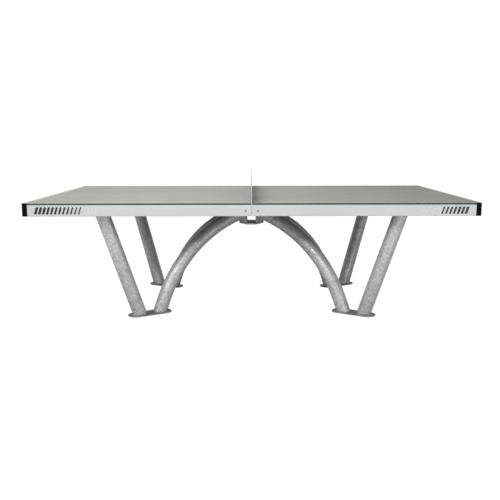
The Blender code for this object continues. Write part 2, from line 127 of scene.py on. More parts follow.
def toMesh(shape, name):
    # the plain mesh, turned right side out
    if shape.calc_volume(signed=True) < 0:
        bmesh.ops.reverse_faces(shape, faces=shape.faces)
    mesh = bpy.data.meshes.new(name)
    shape.to_mesh(mesh)
    shape.free()
    return mesh


def evaluatedMesh(piece):
    graph = bpy.context.evaluated_depsgraph_get()
    mesh = bpy.data.meshes.new_from_object(piece.evaluated_get(graph))
    mesh.name = piece.name
    return mesh


def shift(mesh, x, y, z):
    mesh.transform(Matrix.Translation((x, y, z)))


def mirrored(mesh, end, side):
    copy = mesh.copy()
    copy.transform(Matrix.Diagonal((end, side, 1, 1)))
    if end * side < 0:
        copy.flip_normals()
    return copy


def addPiece(name, mesh, look, *nodes, sharpest=35):
    # a finished piece: one material, on the frame, standing for any CAD nodes named
    mesh.name = name
    mesh.materials.clear()
    mesh.materials.append(materials[look])
    mesh.shade_smooth()
    mesh.set_sharp_from_angle(angle=math.radians(sharpest))
    piece = addObject(name, mesh)
    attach(piece, "root")
    if nodes:
        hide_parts(*nodes)


def addCopies(places, name, mesh, look, node=None):
    # a mirrored copy at each place, standing for the CAD node of the same place if there is one
    for place, end, side in places:
        nodes = [f"{node}_{place}"] if node else []
        addPiece(f"{name}_{place}", mirrored(mesh, end, side), look, *nodes)


def ringMesh(name, rings, closed=False):
    # skin over rings of points, with flat ends or closed on itself
    shape = bmesh.new()
    grid = [[shape.verts.new(point) for point in ring] for ring in rings]
    count = len(rings[0])
    for first, second in zip(grid, grid[1:] + grid[:1] if closed else grid[1:]):
        for step in range(count):
            after = (step + 1) % count
            shape.faces.new((first[step], first[after], second[after], second[step]))
    if not closed:
        shape.faces.new(list(reversed(grid[0])))
        shape.faces.new(grid[-1])
    return toMesh(shape, name)


def roundCorners(points, radius, steps=3):
    # each corner of an outline becomes an arc; radius may be one value or one per corner
    made = []
    for index, point in enumerate(points):
        size = radius[index] if isinstance(radius, (list, tuple)) else radius
        here = Vector(point)
        if size == 0:
            made.append(tuple(here))
            continue
        into = (Vector(points[index - 1]) - here).normalized()
        out = (Vector(points[(index + 1) % len(points)]) - here).normalized()
        half = into.angle(out) / 2
        middle = here + (into + out).normalized() * size / math.sin(half)
        first = here + into * size / math.tan(half) - middle
        last = here + out * size / math.tan(half) - middle
        sweep = first.angle(last)
        for step in range(steps + 1):
            share = step / steps
            spoke = first * math.sin((1 - share) * sweep) + last * math.sin(share * sweep)
            made.append(tuple(middle + spoke / math.sin(sweep)))
    return made


def arcPoints(x, y, radius, start, end, steps):
    turns = [start + (end - start) * step / steps for step in range(steps + 1)]
    return [(x + radius * math.cos(turn), y + radius * math.sin(turn)) for turn in turns]


def circlePoints(x, y, radius, count):
    return arcPoints(x, y, radius, 0, math.tau, count)[:-1]


def plateMesh(name, outline, low, high, holes=(), edge=0.001, segments=2):
    # flat plate with round holes and softened edges, between two heights
    curve = bpy.data.curves.new(name, "CURVE")
    curve.dimensions = "2D"
    curve.fill_mode = "BOTH"
    curve.extrude = (high - low) / 2
    for loop in [outline, *(circlePoints(*hole, 32) for hole in holes)]:
        spline = curve.splines.new("POLY")
        spline.points.add(len(loop) - 1)
        for point, (x, y) in zip(spline.points, loop):
            point.co = (x, y, 0, 1)
        spline.use_cyclic_u = True
    guide = addObject(name, curve)
    mesh = evaluatedMesh(guide)
    bpy.data.objects.remove(guide)
    shift(mesh, 0, 0, (low + high) / 2)
    shape = bmesh.new()
    shape.from_mesh(mesh)
    bmesh.ops.remove_doubles(shape, verts=shape.verts, dist=0.00001)
    bmesh.ops.recalc_face_normals(shape, faces=shape.faces)
    rims = [rim for rim in shape.edges if rim.calc_face_angle(0) > math.radians(40)]
    bmesh.ops.bevel(shape, geom=rims, offset=edge, segments=segments, profile=0.5, affect="EDGES",
                    clamp_overlap=True)
    return toMesh(shape, name)


def cutMesh(name, mesh, cutters):
    # the mesh with the cutters' shapes taken out of it
    piece = addObject(name, mesh)
    tools = [addObject(name + "_cutter", cutter) for cutter in cutters]
    for tool in tools:
        piece.modifiers.new("cut", "BOOLEAN").object = tool
    made = evaluatedMesh(piece)
    for used in [piece, *tools]:
        bpy.data.objects.remove(used)
    return made


def geometryTree(name, floats, **others):
    # a Geometry Nodes tree with named inputs; returns it and what its input node gives
    tree = bpy.data.node_groups.new(name, "GeometryNodeTree")
    tree.interface.new_socket("Geometry", in_out="OUTPUT", socket_type="NodeSocketGeometry")
    kinds = {"Geometry": "Geometry", **dict.fromkeys(floats, "Float"), **others, "material": "Material"}
    for label, kind in kinds.items():
        tree.interface.new_socket(label, in_out="INPUT", socket_type="NodeSocket" + kind)
    return tree, tree.nodes.new("NodeGroupInput").outputs


def endTree(tree, given, geometry):
    realised = addNode(tree, "GeometryNodeRealizeInstances", {"Geometry": geometry})
    painted = addNode(tree, "GeometryNodeSetMaterial", {0: realised, "Material": given["material"]})
    addNode(tree, "NodeGroupOutput", {0: painted})
    return tree


def joinParts(tree, *parts):
    joined = addNode(tree, "GeometryNodeJoinGeometry")
    for part in parts:
        tree.links.new(part.outputs[0], joined.inputs[0])
    return joined


def grownMesh(tree, look, values, mesh=None):
    # what the tree makes of a mesh, as a plain mesh in one look
    values = {**values, "material": materials[look]}
    piece = addObject(tree.name, mesh or bpy.data.meshes.new(tree.name))
    modifier = piece.modifiers.new(tree.name, "NODES")
    modifier.node_group = tree
    for item in tree.interface.items_tree:
        if item.in_out == "INPUT" and item.name in values:
            modifier[item.identifier] = values[item.name]
    made = evaluatedMesh(piece)
    piece.modifiers.clear()
    bpy.data.objects.remove(piece)
    return made


# camera
cameraSettings = {
    "place": (-0.0069, -4.6900, 1.128),
    "lens": 47.74,
    "lookDown": math.radians(9.40),
    "turn": -0.0009,
    "roll": -0.0018,
}


def makeCamera():
    look = cameraSettings
    camera = bpy.data.cameras.new("camera")
    camera.sensor_width = 36
    camera.lens = look["lens"]
    scene.camera = addObject("camera", camera)
    matrix = Matrix.Translation(look["place"]) @ Matrix.Rotation(-look["turn"], 4, "Z")
    matrix @= Matrix.Rotation(math.pi / 2 - look["lookDown"], 4, "X")
    scene.camera.matrix_world = matrix @ Matrix.Rotation(look["roll"], 4, "Z")


makeCamera()
print("camera placed")


# effects that several materials share
def effectGroup(name, outputs, **numbers):
    # a group that reads a place and some numbers; returns it and what its input node gives
    group = bpy.data.node_groups.new(name, "ShaderNodeTree")
    face = group.interface
    face.new_socket("Place", in_out="INPUT", socket_type="NodeSocketVector")
    for label, value in numbers.items():
        face.new_socket(label, in_out="INPUT", socket_type="NodeSocketFloat").default_value = value
    for label in outputs:
        face.new_socket(label, in_out="OUTPUT", socket_type="NodeSocketFloat")
    return group, group.nodes.new("NodeGroupInput").outputs


def facingUp(tree, low, high, smooth=False):
    normal = addNode(tree, "ShaderNodeNewGeometry").outputs["Normal"]
    return mapRange(tree, split(tree, normal)["Z"], low, high, smooth=smooth)


def makeZincSpangle():
    # crystal flakes of a zinc coat, in two sizes, with slow clouds between them
    group, given = effectGroup("zincSpangle", ["Tone", "Height"], Flake=0.012, Clouds=0.3)
    place = given["Place"]
    bend = addNode(group, "ShaderNodeTexNoise", {"Vector": place, "Scale": 70, "Detail": 2})
    push = addNode(group, "ShaderNodeVectorMath", {
        0: bend.outputs["Color"], 1: (0.5, 0.5, 0.5),
    }, operation="SUBTRACT")
    bent = addNode(group, "ShaderNodeVectorMath", {
        0: push, 1: (0.016, 0.016, 0.016), 2: place,
    }, operation="MULTIPLY_ADD")
    tones = []
    for size in (1.0, 0.42):
        pitch = calculate(group, "DIVIDE", size, given["Flake"])
        cells = addNode(group, "ShaderNodeTexVoronoi", {"Vector": bent, "Scale": pitch})
        tones.append(addNode(group, "ShaderNodeSeparateColor", {0: cells.outputs["Color"]}).outputs[0])
    flakes = calculate(group, "MULTIPLY_ADD", tones[0], 0.6, multiply(group, tones[1], 0.4))
    clouds = mapRange(group, noise(group, place, 7, 5, 0.62), 0.3, 0.7)
    addNode(group, "NodeGroupOutput", {
        "Tone": addNode(group, "ShaderNodeMix", {0: given["Clouds"], 2: flakes, 3: clouds}),
        "Height": calculate(group, "MULTIPLY_ADD", noise(group, place, 260), 0.35, tones[0]),
    })
    return group


def makeDustFilm():
    # pale film that settles on what faces upwards, thicker in patches
    group, given = effectGroup("dustFilm", ["Mask"], Amount=0.3)
    upward = facingUp(group, 0.25, 1.0, smooth=True)
    patches = mapRange(group, noise(group, given["Place"], 9, 6, 0.6), 0.35, 0.75)
    addNode(group, "NodeGroupOutput", {"Mask": multiply(group, upward, patches, given["Amount"])})
    return group


def makePaintGrain():
    # fine ripple of a sprayed or moulded skin, and a slow change of tone
    group, given = effectGroup("paintGrain", ["Height", "Tone"], Grain=900.0)
    addNode(group, "NodeGroupOutput", {
        "Height": noise(group, given["Place"], given["Grain"]),
        "Tone": mapRange(group, noise(group, given["Place"], 2.3, 3), 0.3, 0.7),
    })
    return group


def makeScuffs():
    # sparse fine scratches, crossing in two directions, in some areas only
    group, given = effectGroup("scuffs", ["Mask"], Amount=0.5)
    marks = []
    for turn in (0.6, 2.1):
        stretched = addNode(group, "ShaderNodeMapping", {
            "Vector": given["Place"], "Rotation": (0, 0, turn), "Scale": (7, 190, 60),
        })
        marks.append(mapRange(group, noise(group, stretched, 1, 3), 0.68, 0.76))
    either = calculate(group, "MAXIMUM", *marks)
    where = mapRange(group, noise(group, given["Place"], 3.1), 0.45, 0.65)
    addNode(group, "NodeGroupOutput", {"Mask": multiply(group, either, where, given["Amount"])})
    return group


effects = {
    "zincSpangle": makeZincSpangle(),
    "dustFilm": makeDustFilm(),
    "paintGrain": makePaintGrain(),
    "scuffs": makeScuffs(),
}


def useEffect(tree, name, place, **values):
    inputs = {"Place": place, **values}
    return addNode(tree, "ShaderNodeGroup", inputs, node_tree=effects[name]).outputs


def cover(tree, place, colour, effect, amount, tone):
    # the colour with dust or scuffs of one tone over it, and their mask
    mask = useEffect(tree, effect, place, Amount=amount)["Mask"]
    return mixColours(tree, mask, colour, tone), mask


def startMaterial(name, **values):
    # values are the shader's own sockets, such as Roughness
    material = bpy.data.materials.new(name)
    material.use_nodes = True
    tree = material.node_tree
    shader = tree.nodes["Principled BSDF"]
    for label, value in values.items():
        shader.inputs[label.replace("_", " ")].default_value = value
    return material, tree, addNode(tree, "ShaderNodeTexCoord").outputs["Object"]


def endMaterial(material, colour, rough, height, distance, strength=1.0):
    tree = material.node_tree
    bump = addNode(tree, "ShaderNodeBump", {
        "Height": height, "Distance": distance, "Strength": strength,
    })
    shader = tree.nodes["Principled BSDF"]
    tree.links.new(colour, shader.inputs["Base Color"])
    tree.links.new(rough, shader.inputs["Roughness"])
    tree.links.new(bump.outputs[0], shader.inputs["Normal"])
    return material


# materials
surfaceLook = {
    "tone": (0.228, 0.229, 0.205, 1),
    "speck": (0.176, 0.177, 0.157, 1),
    "line": (0.36, 0.37, 0.35, 1),
    "core": (0.045, 0.048, 0.045, 1),
    "dust": (0.5, 0.48, 0.43, 1),
    "scuff": (0.42, 0.42, 0.40, 1),
    "edgeLine": 0.020,
    "middleLine": 0.003,
    "lineSoft": 0.0006,
}


def makePlayingSurface():
    # speckled laminate with printed court lines, and a dark core at its edges
    look, soft = surfaceLook, surfaceLook["lineSoft"]
    material, tree, place = startMaterial("playing_laminate", Specular_IOR_Level=0.4)
    parts = split(tree, place)
    along, across = (calculate(tree, "ABSOLUTE", parts[axis]) for axis in "XY")
    lines = []
    for reach, limit in ((along, halfLength), (across, halfWidth)):
        start = limit - look["edgeLine"]
        lines.append(mapRange(tree, reach, start - soft, start + soft))
    half = look["middleLine"] / 2
    lines.append(mapRange(tree, across, half + soft, half - soft))
    line = calculate(tree, "MAXIMUM", calculate(tree, "MAXIMUM", *lines[:2]), lines[2])
    fine = noise(tree, place, 420, 3, 0.7)
    grain = useEffect(tree, "paintGrain", place, Grain=1500.0)
    colour = mixColours(tree, mapRange(tree, fine, 0.42, 0.7), look["tone"], look["speck"])
    cloud = mapRange(tree, grain["Tone"], 0, 1, 0.95, 1.05)
    colour = mixColours(tree, 1.0, colour, cloud, "MULTIPLY")
    worn = multiply(tree, line, mapRange(tree, fine, 0.25, 0.5, 0.55, 0.9))
    colour = mixColours(tree, worn, colour, look["line"])
    colour, _ = cover(tree, place, colour, "dustFilm", 0.10, look["dust"])
    colour, scuffed = cover(tree, place, colour, "scuffs", 0.35, look["scuff"])
    colour = mixColours(tree, facingUp(tree, 0.6, 0.9), look["core"], colour)
    rough = mapRange(tree, fine, 0.3, 0.7, 0.50, 0.64)
    rough = calculate(tree, "MULTIPLY_ADD", scuffed, -0.2, rough)
    return endMaterial(material, colour, rough, grain["Height"], 0.00012)


paintLook = {
    "dirt": (0.30, 0.28, 0.24, 1),
    "dust": (0.55, 0.53, 0.48, 1),
    "scuff": (0.5, 0.5, 0.49, 1),
    "dirtFrom": apronLow.z + 0.006,
    "dirtFull": apronLow.z - 0.001,
}


def makePaint(name, tone, rough):
    # powder coat: satin, with grime gathered along the lower fold
    look = paintLook
    material, tree, place = startMaterial(name, Specular_IOR_Level=0.5)
    grain = useEffect(tree, "paintGrain", place, Grain=700.0)
    low = mapRange(tree, split(tree, place)["Z"], look["dirtFrom"], look["dirtFull"])
    spots = noise(tree, place, 38, 5)
    grime = multiply(tree, low, mapRange(tree, spots, 0.45, 0.7, 0.05, 0.4))
    shade = mapRange(tree, grain["Tone"], 0, 1, 0.97, 1.02)
    colour = mixColours(tree, 1.0, tone, shade, "MULTIPLY")
    colour = mixColours(tree, grime, colour, look["dirt"])
    colour, _ = cover(tree, place, colour, "dustFilm", 0.5, look["dust"])
    colour, _ = cover(tree, place, colour, "scuffs", 0.5, look["scuff"])
    uneven = mapRange(tree, spots, 0.3, 0.7, rough - 0.05, rough + 0.07)
    return endMaterial(material, colour, uneven, grain["Height"], 0.00010)


def makeGuardPlastic():
    material, tree, place = startMaterial("guard_plastic", Specular_IOR_Level=0.05)
    grain = useEffect(tree, "paintGrain", place, Grain=1300.0)
    tone = mapRange(tree, grain["Tone"], 0, 1, 0.002, 0.004)
    colour = addNode(tree, "ShaderNodeCombineColor", {0: tone, 1: tone, 2: tone}).outputs[0]
    colour, _ = cover(tree, place, colour, "scuffs", 0.9, grey(0.03))
    colour, _ = cover(tree, place, colour, "dustFilm", 0.12, (0.22, 0.21, 0.19, 1))
    rough = mapRange(tree, grain["Height"], 0.35, 0.65, 0.52, 0.68)
    return endMaterial(material, colour, rough, grain["Height"], 0.0003)


zincTint = (0.98, 1.0, 0.99)


def makeZinc(name, dark, bright, flake, clouds=0.3, metal=0.75, gloss=(0.34, 0.56), coat=0.0,
             bump=0.00025):
    # hot-dip galvanised steel: mottled flakes with a dull bloom over them
    material, tree, place = startMaterial(name, Metallic=metal, Coat_Weight=coat, Coat_Roughness=0.06)
    spangle = useEffect(tree, "zincSpangle", place, Flake=flake, Clouds=clouds)
    flakes = mapRange(tree, spangle["Tone"], 0.15, 0.85)
    colour = mixColours(tree, flakes, grey(dark, zincTint), grey(bright, zincTint))
    colour, dust = cover(tree, place, colour, "dustFilm", 0.3, (0.46, 0.45, 0.42, 1))
    colour, _ = cover(tree, place, colour, "scuffs", 0.5, grey(0.6))
    rough = mapRange(tree, spangle["Tone"], 0.1, 0.9, gloss[1], gloss[0])
    rough = calculate(tree, "MULTIPLY_ADD", dust, 0.3, rough)
    return endMaterial(material, colour, rough, spangle["Height"], bump, 0.8)


def makeStainless():
    material, tree, place = startMaterial("stainless_fastener", Metallic=1.0)
    fine = noise(tree, place, 900)
    colour = mixColours(tree, fine, (0.30, 0.30, 0.29, 1), (0.46, 0.46, 0.45, 1))
    colour, _ = cover(tree, place, colour, "dustFilm", 0.2, (0.40, 0.38, 0.34, 1))
    rough = mapRange(tree, fine, 0.3, 0.7, 0.24, 0.42)
    return endMaterial(material, colour, rough, fine, 0.00008)


def makeInk(name, dark, worn):
    # printed film on the paint, a little rubbed
    material, tree, place = startMaterial(name, Specular_IOR_Level=0.4)
    grain = useEffect(tree, "paintGrain", place, Grain=700.0)
    colour = mixColours(tree, grain["Tone"], grey(dark), grey(dark * 1.3))
    colour, _ = cover(tree, place, colour, "scuffs", 0.7, grey(worn))
    rough = mapRange(tree, grain["Height"], 0.3, 0.7, 0.38, 0.5)
    return endMaterial(material, colour, rough, grain["Height"], 0.0001)


materials = {
    "surface": makePlayingSurface(),
    "apron": makePaint("apron_powder_coat", (0.500, 0.520, 0.532, 1), 0.38),
    "net": makePaint("net_powder_coat", (0.46, 0.47, 0.465, 1), 0.40),
    "guard": makeGuardPlastic(),
    "tube": makeZinc("zinc_tube", 0.37, 0.65, 0.007, clouds=0.2, metal=0.42, gloss=(0.40, 0.58),
                     coat=0.45),
    "plate": makeZinc("zinc_plate", 0.23, 0.44, 0.016),
    "hub": makeZinc("zinc_hub", 0.34, 0.60, 0.014, metal=0.4),
    # the hub base plate's zinc is painted lighter than the hub's own zinc: painted light on its top face,
    # which sits in shade between the hub shells
    "hubBasePaintedLight": makeZinc("zinc_hub_base", 0.50, 0.76, 0.014, metal=0.2),
    "bead": makeZinc("zinc_weld", 0.18, 0.42, 0.006, bump=0.0004),
    "beam": makeZinc("zinc_beam", 0.20, 0.44, 0.020),
    "stainless": makeStainless(),
    "inkBlack": makeInk("stripe_black", 0.012, 0.10),
    "inkGrey": makeInk("stripe_grey", 0.46, 0.60),
}
print("materials made:", len(materials))


# playing surfaces, with their outer corners notched for the guards
deck = {"edge": 0.0012, "segments": 3}
guards = {"wall": 0.004, "round": 0.012, "innerRound": 0.006, "edge": 0.0009}
guardReach = guardHigh.x - guardLow.x  # length of each side of a corner guard
notchLong, notchDeep = guardReach + gap, guards["wall"] + gap


def makeDecks():
    x, y, long, deep = halfLength, halfWidth, notchLong, notchDeep
    front = [(deckLow.x, -y), (x - long, -y), (x - long, -y + deep), (x - deep, -y + deep),
             (x - deep, -y + long), (x, -y + long)]
    outline = front + [(across, -along) for across, along in reversed(front)]
    board = plateMesh("deck", outline, deckLow.z, deckHigh.z, (), deck["edge"], deck["segments"])
    addCopies(halves, "deck", board, "surface", "tabletop")


makeDecks()


# aprons: folded sheet channels
aprons = {
    "wall": 0.0025,
    "lip": 0.025,
    "outerFold": 0.0035,
    "innerFold": 0.001,
    "tipFold": 0.00075,
    "screwHole": 0.0043,
    "cutterReach": 0.03,
    "notchOver": 0.05,
}


def apronProfile():
    wall, lip = aprons["wall"], aprons["lip"]
    low, high = apronLow.z, apronHigh.z
    points = [(0, low), (lip, low), (lip, low + wall), (wall, low + wall), (wall, high - wall),
              (lip, high - wall), (lip, high), (0, high)]
    outer, inner, tip = aprons["outerFold"], aprons["innerFold"], aprons["tipFold"]
    return roundCorners(points, [outer, tip, tip, inner, inner, tip, tip, outer], 4)


def apronMesh(start, end, mitreStart, mitreEnd):
    # channel along +X with its face at y = 0; a mitre moves each point in by its depth
    return ringMesh("apron", [
        [Vector((x + mitre * depth, depth, z)) for depth, z in apronProfile()]
        for x, mitre in ((start, mitreStart), (end, -mitreEnd))
    ])


def guardNotch(end, side):
    x, y, long, deep, over = halfLength, halfWidth, notchLong, notchDeep, aprons["notchOver"]
    outline = [(x + over, y + over), (x - long, y + over), (x - long, y - deep),
               (x - deep, y - deep), (x - deep, y - long), (x + over, y - long)]
    notch = plateMesh("notch", outline, apronLow.z - over, deckHigh.z + over, edge=0.00001, segments=1)
    return mirrored(notch, end, side)


screwLow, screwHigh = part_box("seam_screw_rear_right")
screwX, screwZ = (screwLow.x + screwHigh.x) / 2, (screwLow.z + screwHigh.z) / 2


def screwHole(end, side):
    circle = circlePoints(0, 0, aprons["screwHole"], 32)
    reach = aprons["cutterReach"]
    hole = ringMesh("hole", [[Vector((x, y, z)) for x, y in circle] for z in (-reach, reach)])
    hole.transform(Matrix.Rotation(math.pi / 2, 4, "X"))
    shift(hole, end * screwX, side * halfWidth, screwZ)
    return hole


def makeAprons():
    mitre = gap / 2 * math.sqrt(2)
    long = apronMesh(deckLow.x, halfLength - mitre, 0, 1)
    shift(long, 0, -halfWidth, 0)
    for name, end, side in quarters:
        cutters = [guardNotch(end, side), screwHole(end, side)]
        mesh = cutMesh(name, mirrored(long, end, -side), cutters)
        addPiece(f"apron_sheet_{name}", mesh, "apron", f"apron_{name}")
    reach = halfWidth - mitre
    short = apronMesh(-reach, reach, 1, 1)
    shift(short, 0, -halfLength, 0)
    short.transform(Matrix.Rotation(math.pi / 2, 4, "Z"))
    for name, end in ends.items():
        cutters = [guardNotch(end, side) for side in sides.values()]
        mesh = cutMesh(name, mirrored(short, end, 1), cutters)
        addPiece(f"apron_sheet_{name}_end", mesh, "apron", f"apron_{name}_end")


makeAprons()


# corner guards
def makeGuards():
    x, y, wall, radius = halfLength, halfWidth, guards["wall"], guards["round"]
    inner = [(x - guardReach, y - wall), (x - wall, y - wall), (x - wall, y - guardReach)]
    outline = [(x - guardReach, y)] + roundCorners(inner, [0, guards["innerRound"], 0], 6)
    outline += [(x, y - guardReach)] + arcPoints(x - radius, y - radius, radius, 0, math.pi / 2, 12)
    mesh = plateMesh("guard", outline, guardLow.z, guardHigh.z, edge=guards["edge"], segments=3)
    addCopies(quarters, "guard", mesh, "guard", "corner_guard")


makeGuards()
print("top, aprons and guards made")


# legs
legs = {
    "planAngle": math.radians(31.5),
    "diameter": 0.0889,
    "wall": 0.003,
    "lean": math.radians(18.84),
    "archLean": math.radians(21.65),
    "archStraight": 0.0937,
    "feetSpread": 0.1366,
    "archAtHub": 0.6305,
    "sides": 64,
    "archSteps": 48,
    "straightSteps": 12,
}
legOut = Vector((math.cos(legs["planAngle"]), math.sin(legs["planAngle"]), 0))
legAcross = Vector((-legOut.y, legOut.x, 0))
hubSide = hubHigh.y - (hubHigh.x - shellLow.x) / math.tan(legs["planAngle"])
hubFace = Vector(((shellLow.x + hubHigh.x) / 2, (hubHigh.y + hubSide) / 2, 0))
headMiddle = (headLow + headHigh) / 2
headReach = (headMiddle.y - hubFace.y) / legOut.y
straightFoot = headReach - headLow.z * math.tan(legs["lean"])
archFoot = straightFoot - legs["feetSpread"]
# planes that cut the tubes' ends: a point and the way that the plane faces
floorPlane = (Vector((0, 0, footHigh.z + gap)), Vector((0, 0, 1)))
headPlane = (Vector((0, 0, headLow.z - gap)), Vector((0, 0, 1)))
hubPlane = (hubFace + legOut * gap, legOut)


def alongLeg(reach, height):
    return hubFace + legOut * reach + Vector((0, 0, height))


def straightAxis():
    steps = legs["straightSteps"]
    heights = [headLow.z * step / steps for step in range(steps + 1)]
    return [alongLeg(straightFoot + z * math.tan(legs["lean"]), z) for z in heights]


def archAxis():
    # short straight at the foot, then one bend that ends on the hub's face
    lean = legs["archLean"]
    startIn, startUp = legs["archStraight"] * math.sin(lean), legs["archStraight"] * math.cos(lean)
    chordIn, chordUp = archFoot - startIn, legs["archAtHub"] - startUp
    steep = math.pi / 2 - lean
    turn = 2 * (steep - math.atan2(chordUp, chordIn))
    radius = math.hypot(chordIn, chordUp) / (2 * math.sin(turn / 2))
    points = [alongLeg(archFoot, 0)]
    for step in range(legs["archSteps"] + 1):
        slope = steep - turn * step / legs["archSteps"]
        inward = startIn + radius * (math.sin(steep) - math.sin(slope))
        upward = startUp + radius * (math.cos(slope) - math.cos(steep))
        points.append(alongLeg(archFoot - inward, upward))
    return points


def tubeRing(point, along, radius, plane=None):
    # the ring square to the tube, or slid along it onto a plane
    above = along.cross(legAcross)
    ring = []
    for step in range(legs["sides"]):
        turn = math.tau * step / legs["sides"]
        spot = point + (legAcross * math.cos(turn) + above * math.sin(turn)) * radius
        if plane:
            spot += along * ((plane[0] - spot).dot(plane[1]) / along.dot(plane[1]))
        ring.append(spot)
    return ring


def tubeRings(axis, radius, firstPlane, lastPlane):
    rings = []
    for index, point in enumerate(axis):
        before, after = axis[max(index - 1, 0)], axis[min(index + 1, len(axis) - 1)]
        plane = {0: firstPlane, len(axis) - 1: lastPlane}.get(index)
        rings.append(tubeRing(point, (after - before).normalized(), radius, plane))
    return rings


def makeLegs():
    outer = legs["diameter"] / 2
    for name, axis, lastPlane in (("straight", straightAxis(), headPlane), ("arch", archAxis(), hubPlane)):
        rings = tubeRings(axis, outer, floorPlane, lastPlane)
        rings += reversed(tubeRings(axis, outer - legs["wall"], floorPlane, lastPlane))
        mesh = ringMesh(name, rings, closed=True)
        addCopies(quarters, f"{name}_tube", mesh, "tube", f"{name}_leg")


makeLegs()


# foot, head and hub plates
plates = {
    "footWidth": 0.110,
    "footOverhang": 0.033,
    "anchorHole": 0.0055,
    "anchorFromEnd": 0.020,
    "boltHole": 0.0063,
    "cornerRound": 0.004,
    "hubWall": 0.008,
    "hubRound": 0.003,
    "hubInnerRound": 0.002,
    "baseEdge": 0.0015,
    "shellEdge": 0.0008,
    "edge": 0.0012,
}


def makeFeet():
    radius = plates["footWidth"] / 2
    half = legs["feetSpread"] / 2 + legs["diameter"] / 2 / math.cos(legs["archLean"])
    half += plates["footOverhang"]
    outline = arcPoints(half - radius, 0, radius, -math.pi / 2, math.pi / 2, 24)
    outline += arcPoints(radius - half, 0, radius, math.pi / 2, math.pi * 1.5, 24)
    reach = half - plates["anchorFromEnd"]
    holes = [(way * reach, 0, plates["anchorHole"]) for way in (-1, 1)]
    mesh = plateMesh("foot", outline, footLow.z, footHigh.z, holes, plates["edge"])
    mesh.transform(Matrix.Rotation(legs["planAngle"], 4, "Z"))
    shift(mesh, *alongLeg((straightFoot + archFoot) / 2, 0))
    addCopies(quarters, "foot", mesh, "plate", "foot_plate")


def squarePlate(name, low, high, holes):
    corners = [(low.x, low.y), (high.x, low.y), (high.x, high.y), (low.x, high.y)]
    outline = roundCorners(corners, plates["cornerRound"], 4)
    holes = [(x, y, plates["boltHole"]) for x, y in holes]
    return plateMesh(name, outline, low.z, high.z, holes, plates["edge"])


legBoltLow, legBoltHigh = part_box("leg_bolt_outer_rear_right")
hubBoltLow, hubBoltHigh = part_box("hub_bolt_rear_right")
legBoltReach = (legBoltLow.y + legBoltHigh.y) / 2 - headMiddle.y
hubBolt = (hubBoltLow + hubBoltHigh) / 2


def makeHeadPlates():
    holes = [(headMiddle.x, headMiddle.y + way * legBoltReach) for way in (-1, 1)]
    mesh = squarePlate("head", headLow, headHigh, holes)
    addCopies(quarters, "head_plate", mesh, "plate", "leg_head_plate")


def hubOutline(inset=0.0):
    # the hub's right half, from the front gap corner to the rear one
    inner, wide = shellLow.x, hubHigh.x - inset
    gapY = hubHigh.y - inset / legOut.y
    sideY = gapY - (wide - inner) / math.tan(legs["planAngle"])
    return [(inner, -gapY), (wide, -sideY), (wide, sideY), (inner, gapY)]


def makeHub():
    right, outer, inner = hubOutline(), plates["hubRound"], plates["hubInnerRound"]
    outline = roundCorners(right + [(-x, -y) for x, y in right], outer)
    base = plateMesh("base", outline, hubLow.z, hubHigh.z, edge=plates["baseEdge"])
    # the base plate takes the lighter zinc, as painted light on its shaded top face
    addPiece("hub_base", base, "hubBasePaintedLight", "hub_base_plate")
    outline = right + list(reversed(hubOutline(plates["hubWall"])))
    outline = roundCorners(outline, [0, outer, outer, 0, 0, inner, inner, 0])
    shell = plateMesh("shell", outline, shellLow.z, shellHigh.z, edge=plates["shellEdge"])
    addCopies(halves, "hub_side", shell, "hub", "hub_shell")
    holes = [(end * hubBolt.x, side * hubBolt.y) for _, end, side in quarters]
    addPiece("hub_lid", squarePlate("lid", lidLow, lidHigh, holes), "plate", "hub_top_plate")


makeFeet()
makeHeadPlates()
makeHub()
print("legs, plates and hub made")


# weld beads: Geometry Nodes sweep a rippled bead along each joint
welds = {
    "size": 0.0036,
    "hubSize": 0.0026,
    "ripple": 0.16,
    "ripplePitch": 0.0045,
    "lift": 0.45,  # share of the size
    "tubeGap": 0.0005,
    "hubGap": 0.0004,
}


def beadTree():
    tree, given = geometryTree("weldBead", ["size", "ripple", "ripplePitch"])
    curve = addNode(tree, "GeometryNodeMeshToCurve", {0: given["Geometry"]})
    step = calculate(tree, "DIVIDE", given["ripplePitch"], 3.0)
    even = addNode(tree, "GeometryNodeResampleCurve", {"Curve": curve, "Length": step}, mode="LENGTH")
    run = addNode(tree, "GeometryNodeSplineParameter").outputs["Length"]
    phase = multiply(tree, calculate(tree, "DIVIDE", run, given["ripplePitch"]), math.tau)
    wave = multiply(tree, calculate(tree, "SINE", phase), given["ripple"])
    uneven = addNode(tree, "ShaderNodeTexNoise", {"Scale": 60, "Detail": 1}).outputs["Fac"]
    swell = calculate(tree, "MULTIPLY_ADD", uneven, 0.5, calculate(tree, "ADD", wave, 0.75))
    profile = addNode(tree, "GeometryNodeCurvePrimitiveCircle", {"Resolution": 8, "Radius": given["size"]})
    bead = addNode(tree, "GeometryNodeCurveToMesh", {
        "Curve": even, "Profile Curve": profile, "Scale": swell, "Fill Caps": True,
    })
    return endTree(tree, given, bead)


def lineMesh(name, paths, cyclic):
    # bare edges along each path of points
    shape = bmesh.new()
    for path in paths:
        verts = [shape.verts.new(point) for point in path]
        for pair in zip(verts, verts[1:] + verts[:1] if cyclic else verts[1:]):
            shape.edges.new(pair)
    return toMesh(shape, name)


def tubeEndPath(axis, index, plane, lift):
    # the loop where a tube meets a plate, a little above the plate
    first, second = (axis[0], axis[1]) if index == 0 else (axis[-2], axis[-1])
    along = (first - second).normalized()
    raised = (plane[0] + plane[1] * lift, plane[1])
    return tubeRing(axis[index], along, legs["diameter"] / 2 + welds["tubeGap"], raised)


